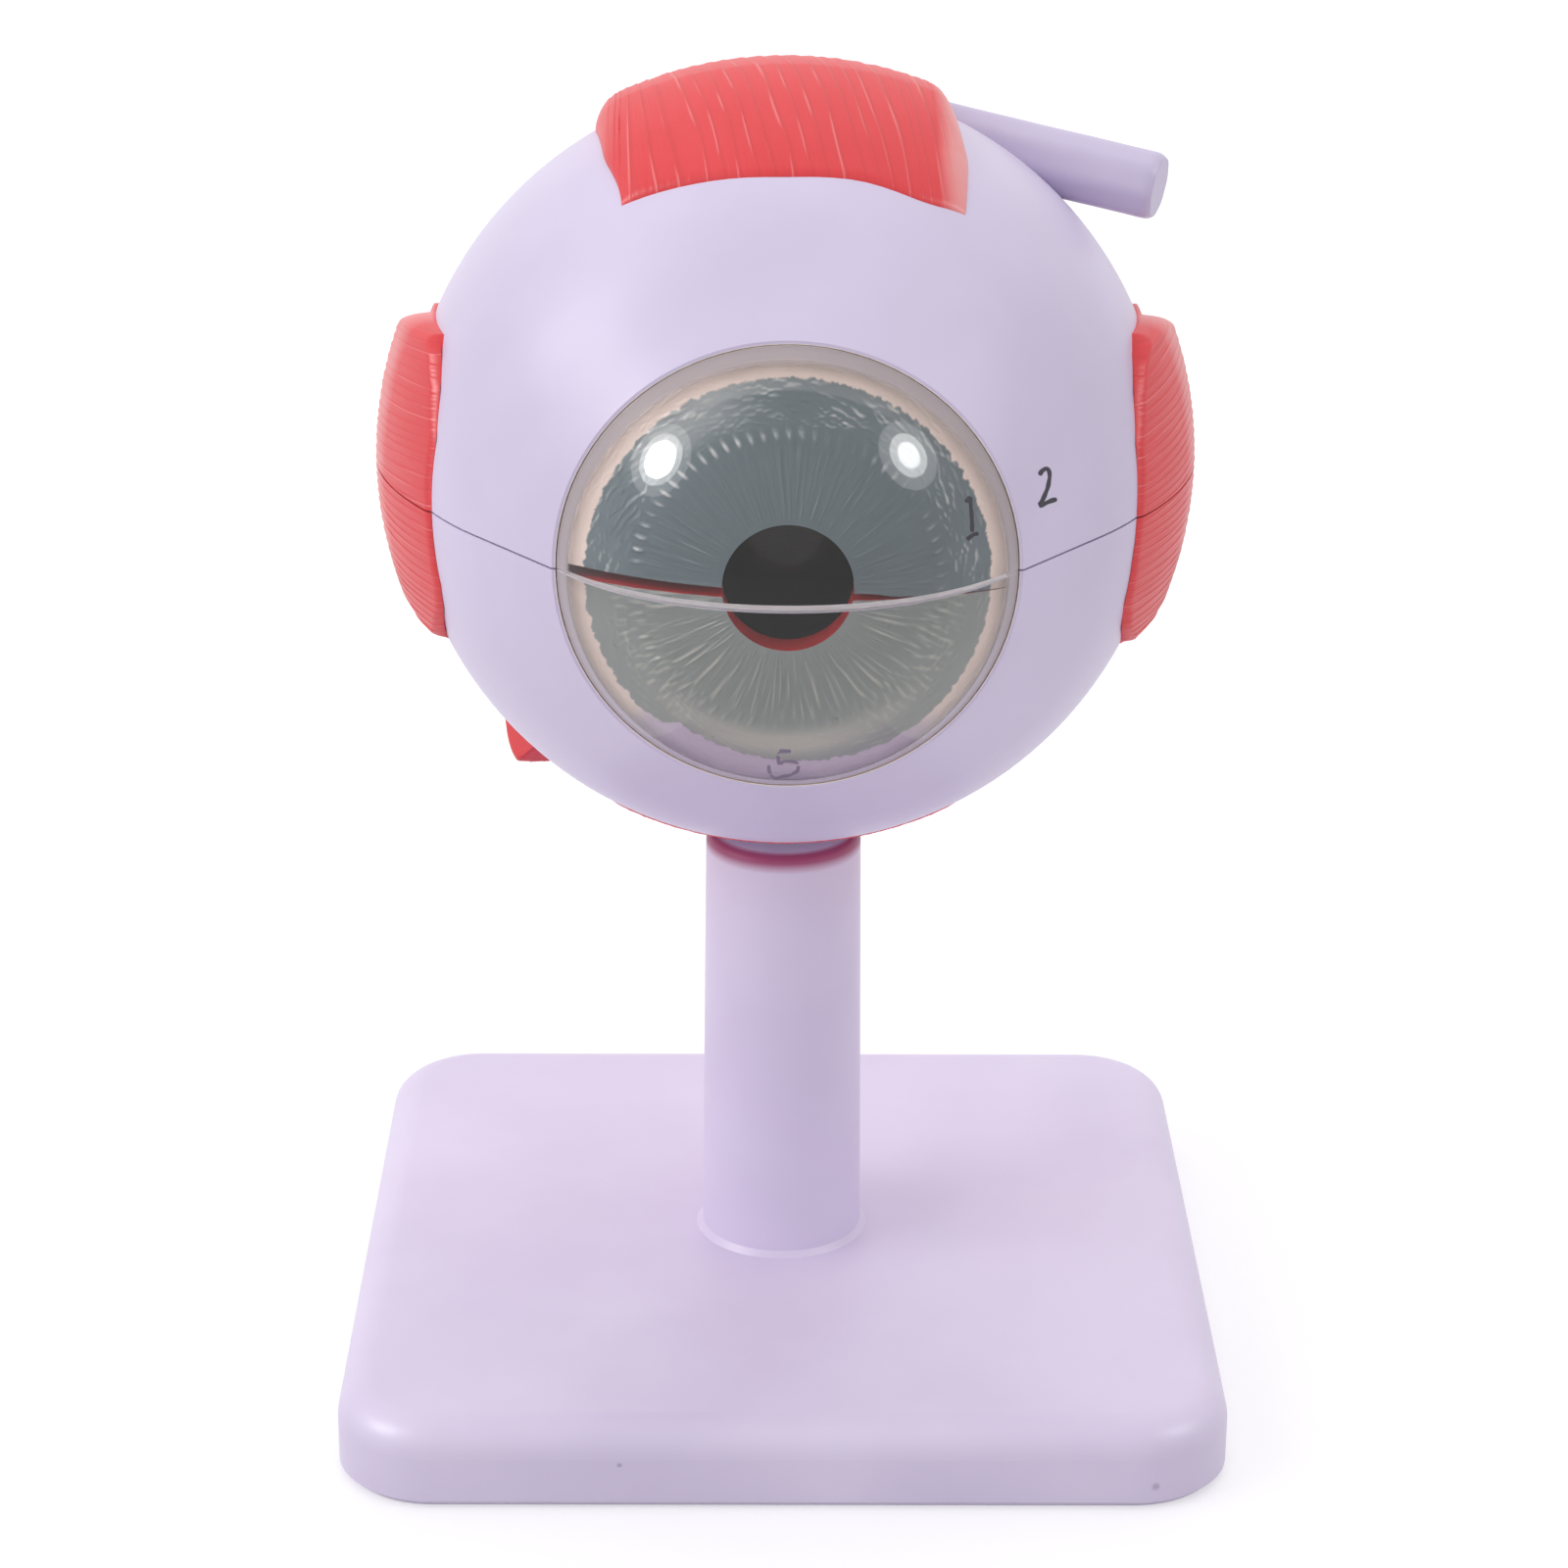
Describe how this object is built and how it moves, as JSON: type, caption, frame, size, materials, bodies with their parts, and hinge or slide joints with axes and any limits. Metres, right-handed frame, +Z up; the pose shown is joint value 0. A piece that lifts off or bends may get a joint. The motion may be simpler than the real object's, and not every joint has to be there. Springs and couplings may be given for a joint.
{
  "type": "eye anatomy model",
  "caption": "Take-apart enlarged eyeball on a square stand: split white shell, clear cornea, iris halves, lens, clear inner body and red muscles; ball turns on its post.",
  "frame": {"origin": "centre of the base plate's underside, on the axis of the post and the pin", "axes": "+Z up along the post, -Y the way the eye looks, +X to the right of somebody who looks into the eye, which is the nasal side of this right eye"},
  "size_m": [0.09, 0.0938, 0.1355],
  "materials": {
    "stand_plastic": "satin moulded plastic, pale lavender",
    "shell_plastic": "satin moulded plastic, pale lavender white",
    "pin_steel": "turned",
    "clear_plastic": "clear, polished",
    "muscle_plastic": "satin red paint over grooved plastic",
    "choroid_plastic": "satin red plastic",
    "iris_paint": "hand painted blue-grey over red plastic",
    "nerve_plastic": "satin paint, cream"
  },
  "bodies": {
    "stand": {"base_plate": "stand_plastic", "post": "stand_plastic"},
    "pin": {"dowel_pin": "pin_steel"},
    "lower_shell": {"lower_sclera": "shell_plastic", "lower_cornea": "clear_plastic", "inferior_rectus": "muscle_plastic", "lateral_rectus_lower": "muscle_plastic", "medial_rectus_lower": "muscle_plastic", "inferior_oblique": "muscle_plastic", "optic_nerve_lower": "nerve_plastic"},
    "inner_lower": {"lower_choroid": "choroid_plastic", "lower_iris": "iris_paint", "lower_ciliary": "choroid_plastic"},
    "vitreous": {"vitreous_body": "clear_plastic"},
    "crystalline_lens": {"lens": "clear_plastic"},
    "inner_upper": {"upper_choroid": "choroid_plastic", "upper_iris": "iris_paint", "upper_ciliary": "choroid_plastic"},
    "upper_shell": {"upper_sclera": "shell_plastic", "upper_cornea": "clear_plastic", "superior_rectus": "muscle_plastic", "lateral_rectus_upper": "muscle_plastic", "medial_rectus_upper": "muscle_plastic", "superior_oblique": "shell_plastic", "optic_nerve_upper": "nerve_plastic"}
  },
  "joints": [
    {"name": "pin_lift", "type": "slide", "parent": "stand", "child": "pin", "axis": [0, 0, 1], "range_m": [0, 0.018]},
    {"name": "ball_turn", "type": "hinge", "parent": "pin", "child": "lower_shell", "pos_m": [0, 0, 0.0566], "axis": [0, 0, 1], "continuous": true},
    {"name": "inner_lower_lift", "type": "slide", "parent": "lower_shell", "child": "inner_lower", "axis": [0, 0, 1], "range_m": [0, 0.045]},
    {"name": "vitreous_lift", "type": "slide", "parent": "inner_lower", "child": "vitreous", "axis": [0, 0, 1], "range_m": [0, 0.04]},
    {"name": "lens_turn", "type": "hinge", "parent": "vitreous", "child": "crystalline_lens", "pos_m": [0, -0.025, 0.09474], "axis": [0, -1, 0], "continuous": true},
    {"name": "inner_upper_lift", "type": "slide", "parent": "vitreous", "child": "inner_upper", "axis": [0, 0, 1], "range_m": [0, 0.045]},
    {"name": "upper_shell_lift", "type": "slide", "parent": "inner_upper", "child": "upper_shell", "axis": [0, 0, 1], "range_m": [0, 0.05]}
  ]
}
